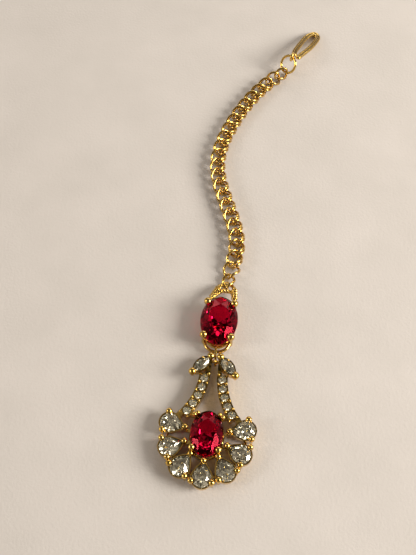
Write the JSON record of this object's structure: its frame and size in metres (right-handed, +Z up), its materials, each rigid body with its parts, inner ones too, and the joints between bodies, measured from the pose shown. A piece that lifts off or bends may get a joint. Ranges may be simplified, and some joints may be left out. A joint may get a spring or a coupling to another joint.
{
  "type": "maang tikka",
  "caption": "Forehead jewel: a hook and ring, a doubled curb chain, an oval ruby in a prong setting, and a fan pendant of pear stones round a second ruby.",
  "frame": {"origin": "bottom centre of the whole jewel as it lies flat", "axes": "+Z up from the floor, +Y from the pendant towards the hook, +X to the right seen from above"},
  "size_m": [0.0434, 0.134, 0.0065],
  "materials": {
    "gold": "polished gold plating",
    "ruby": "polished deep red cut stone",
    "clear_stone": "polished clear cut stone"
  },
  "bodies": {
    "root": {"hook": "gold", "hook_ring": "gold", "chain_link_01": "gold", "chain_link_02": "gold", "chain_link_03": "gold", "chain_link_04": "gold", "chain_link_05": "gold", "chain_link_06": "gold", "chain_link_07": "gold", "chain_link_08": "gold", "chain_link_09": "gold", "chain_link_10": "gold", "chain_link_11": "gold", "chain_link_12": "gold", "chain_link_13": "gold", "chain_link_14": "gold", "chain_link_15": "gold", "chain_link_16": "gold", "chain_link_17": "gold", "chain_link_18": "gold", "chain_link_19": "gold", "chain_link_20": "gold", "chain_link_21": "gold", "chain_link_22": "gold", "chain_link_23": "gold", "chain_link_24": "gold", "upper_setting": "gold", "upper_ruby": "ruby", "hanging_ring": "gold", "pendant_frame": "gold", "lower_ruby": "ruby", "pear_stone_1": "clear_stone", "pear_stone_2": "clear_stone", "pear_stone_3": "clear_stone", "pear_stone_4": "clear_stone", "pear_stone_5": "clear_stone", "pear_stone_6": "clear_stone", "pear_stone_7": "clear_stone", "marquise_left": "clear_stone", "marquise_right": "clear_stone", "pave_left": "clear_stone", "pave_right": "clear_stone"}
  },
  "joints": []
}
